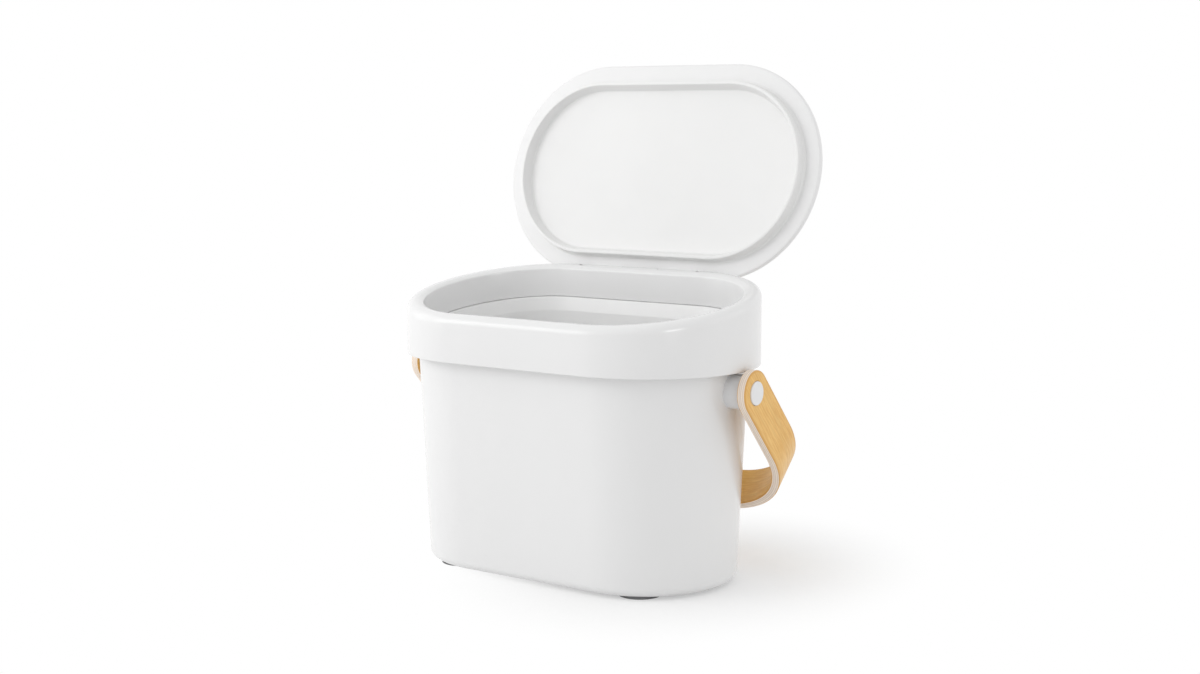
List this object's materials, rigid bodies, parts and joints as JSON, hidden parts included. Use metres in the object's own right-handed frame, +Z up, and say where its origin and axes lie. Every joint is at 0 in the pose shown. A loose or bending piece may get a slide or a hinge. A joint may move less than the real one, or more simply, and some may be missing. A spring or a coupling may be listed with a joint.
{
  "type": "kitchen compost bin",
  "caption": "Countertop compost bin: stadium-shaped tub, tilted collar, hinged lid standing open, lift-out inner bucket and a swinging laminated wood strap handle.",
  "frame": {"origin": "On the ground plane under the feet, below the middle of the whole part's bounding box with the lid open. The middle of the bin's own base lies 21.3 mm in front of it, at y = -0.0213.", "axes": "+Z up. X runs along the bin's length from pivot to pivot. +Y points to the hinge side, so the lid stands open at +Y and the handle hangs there. The front is at -Y."},
  "size_m": [0.2818, 0.1986, 0.3487],
  "materials": {
    "shell_white": "white, satin moulded",
    "bucket_white": "off-white, satin moulded",
    "collar_white": "white, satin moulded",
    "lid_white": "white, satin moulded",
    "liner_white": "white, matt moulded",
    "boss_white": "white, satin moulded",
    "cap_white": "white, smooth",
    "laminated_wood": "honey-coloured laminated wood, satin lacquer",
    "steel": "plain",
    "brass": "plain",
    "nylon": "natural nylon",
    "foot_rubber": "matt dark grey"
  },
  "bodies": {
    "bin": {"shell": "shell_white", "bucket": "bucket_white", "foot_front_left": "foot_rubber", "foot_front_right": "foot_rubber", "foot_back_left": "foot_rubber", "foot_back_right": "foot_rubber", "pivot_boss_left": "boss_white", "pivot_boss_right": "boss_white", "boss_nut_left": "nylon", "boss_nut_right": "nylon", "pivot_insert_left": "brass", "pivot_insert_right": "brass", "pivot_washer_left": "nylon", "pivot_washer_right": "nylon", "pivot_screw_left": "steel", "pivot_screw_right": "steel"},
    "collar": {"collar": "collar_white", "hinge_pin": "steel"},
    "lid": {"lid_cover": "lid_white", "lid_liner": "liner_white"},
    "handle": {"handle_strap": "laminated_wood", "pivot_cap_left": "cap_white", "pivot_cap_right": "cap_white"}
  },
  "joints": [
    {"name": "lid_hinge", "type": "hinge", "parent": "collar", "child": "lid", "pos_m": [0, 0.05376, 0.20074], "axis": [1, 0, 0], "range_deg": [0, 113.3]},
    {"name": "handle_swing", "type": "hinge", "parent": "bin", "child": "handle", "pos_m": [0, -0.02131, 0.1345], "axis": [1, 0, 0], "range_deg": [0, 72]},
    {"name": "collar_lift", "type": "slide", "parent": "bin", "child": "collar", "axis": [0, 0, 1], "range_m": [0, 0.04]}
  ]
}
